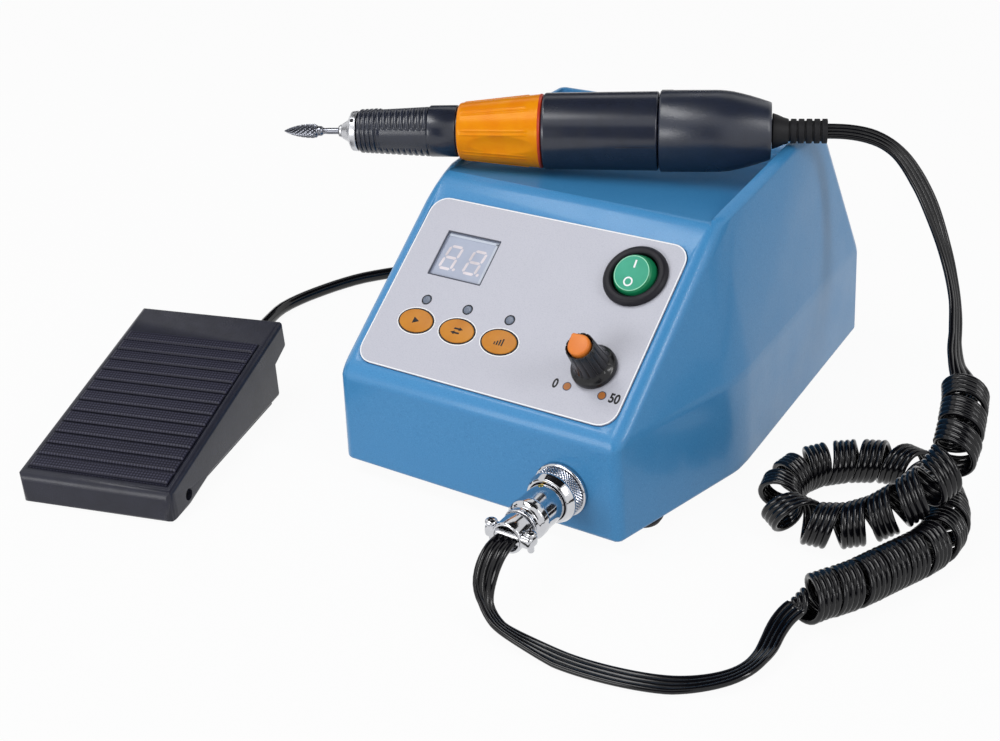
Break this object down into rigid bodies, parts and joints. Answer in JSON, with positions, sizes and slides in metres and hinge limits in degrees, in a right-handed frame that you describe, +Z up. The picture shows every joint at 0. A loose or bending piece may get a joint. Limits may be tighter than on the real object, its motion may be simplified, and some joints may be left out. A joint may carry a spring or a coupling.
{
  "type": "dental laboratory micromotor",
  "caption": "Bench micromotor: sloped control unit with a cradle, a turning-spindle handpiece on a curly cord, and a foot pedal.",
  "frame": {"origin": "on the floor, under the middle of the box round the rigid pieces", "axes": "+Z up; the unit's control panel faces -Y; +X to the right of someone who looks at the panel"},
  "size_m": [0.3278, 0.3489, 0.1196],
  "materials": {
    "blue_paint": "satin, finely speckled",
    "black_plastic": "satin",
    "black_gloss": "semi-gloss",
    "black_rubber": "matt",
    "grey_overlay": "satin film",
    "display_window": "clear gloss over grey",
    "ochre_key": "satin",
    "green_rocker": "gloss",
    "lamp": "gloss",
    "orange_cap": "semi-gloss",
    "amber_ring": "semi-gloss",
    "circuit_board": "satin",
    "steel": "satin",
    "chrome": "polished",
    "copper": "enamelled wire",
    "magnet": "matt"
  },
  "bodies": {
    "unit": {"housing_shell": "blue_paint", "base_plate": "black_plastic", "unit_foot_front_left": "black_rubber", "unit_foot_front_right": "black_rubber", "unit_foot_rear_left": "black_rubber", "unit_foot_rear_right": "black_rubber", "panel_overlay": "grey_overlay", "display_window": "display_window", "control_board": "circuit_board", "indicator_lamp_1": "lamp", "indicator_lamp_2": "lamp", "indicator_lamp_3": "lamp", "rocker_bezel": "black_gloss", "potentiometer": "steel", "motor_socket": "chrome", "socket_nut": "chrome", "plug_barrel": "chrome", "cable_clamp": "chrome", "mains_inlet": "black_plastic", "fuse_holder": "black_plastic", "pedal_jack": "chrome", "pedal_plug": "black_plastic", "transformer_core": "steel", "transformer_winding": "copper", "power_board": "circuit_board", "pedal_base": "black_plastic", "pivot_pin": "steel", "pedal_strip_front": "black_rubber", "pedal_strip_rear": "black_rubber", "cord_grommet": "black_rubber", "return_spring": "steel", "pedal_switch": "black_plastic", "handpiece_cord_front": "black_rubber", "handpiece_cord_curls": "black_rubber", "handpiece_cord_rear": "black_rubber", "pedal_cord_lead": "black_rubber", "pedal_cord_coil": "black_rubber", "pedal_cord_tail": "black_rubber"},
    "start_key": {"start_key": "ochre_key"},
    "direction_key": {"direction_key": "ochre_key"},
    "mode_key": {"mode_key": "ochre_key"},
    "rocker": {"rocker_button": "green_rocker"},
    "speed_dial": {"speed_knob": "black_plastic", "knob_cap": "orange_cap", "knob_shaft": "steel"},
    "coupling": {"coupling_ring": "chrome"},
    "handpiece": {"front_sleeve": "black_gloss", "motor_case": "black_plastic", "rear_cap": "black_plastic", "strain_relief": "black_rubber", "stator": "magnet", "front_bearing": "steel", "rear_bearing": "steel"},
    "lock": {"lock_ring": "amber_ring"},
    "spindle": {"spindle_nose": "chrome", "spindle": "steel", "rotor": "copper"},
    "bur": {"carbide_bur": "steel"},
    "treadle": {"treadle": "black_plastic", "tread_mat": "black_rubber"}
  },
  "joints": [
    {"name": "start_key_press", "type": "slide", "parent": "unit", "child": "start_key", "axis": [0, 0.5965, -0.8026], "range_m": [0, 0.0004], "stiffness_N_per_m": 1500, "springref_m": -0.0005},
    {"name": "direction_key_press", "type": "slide", "parent": "unit", "child": "direction_key", "axis": [0, 0.5965, -0.8026], "range_m": [0, 0.0004], "stiffness_N_per_m": 1500, "springref_m": -0.0005},
    {"name": "mode_key_press", "type": "slide", "parent": "unit", "child": "mode_key", "axis": [0, 0.5965, -0.8026], "range_m": [0, 0.0004], "stiffness_N_per_m": 1500, "springref_m": -0.0005},
    {"name": "rocker_tilt", "type": "hinge", "parent": "unit", "child": "rocker", "pos_m": [0.08846, -0.00907, 0.07739], "axis": [1, 0, 0], "range_deg": [-20, 0]},
    {"name": "speed_turn", "type": "hinge", "parent": "unit", "child": "speed_dial", "pos_m": [0.08866, -0.03748, 0.05627], "axis": [0, -0.5965, 0.8026], "range_deg": [-190, 90]},
    {"name": "coupling_turn", "type": "hinge", "parent": "unit", "child": "coupling", "pos_m": [0.08676, -0.05773, 0.0206], "axis": [0, -1, 0], "continuous": true},
    {"name": "handpiece_lift", "type": "slide", "parent": "unit", "child": "handpiece", "axis": [0, 0, 1], "range_m": [0, 0.06]},
    {"name": "lock_turn", "type": "hinge", "parent": "handpiece", "child": "lock", "pos_m": [0.01114, 0.02865, 0.1049], "axis": [0.9041, 0.4274, 0], "range_deg": [0, 60]},
    {"name": "spindle_spin", "type": "hinge", "parent": "handpiece", "child": "spindle", "pos_m": [-0.04424, 0.00247, 0.1049], "axis": [0.9041, 0.4274, 0], "continuous": true},
    {"name": "bur_release", "type": "slide", "parent": "spindle", "child": "bur", "axis": [-0.9041, -0.4274, 0], "range_m": [0, 0.03]},
    {"name": "treadle_press", "type": "hinge", "parent": "unit", "child": "treadle", "pos_m": [-0.06967, -0.11279, 0.0052], "axis": [0.9632, 0.2689, 0], "range_deg": [-2.4, 0], "stiffness_Nm_per_rad": 4, "springref_deg": 5.73, "deforming": ["return_spring"]}
  ]
}
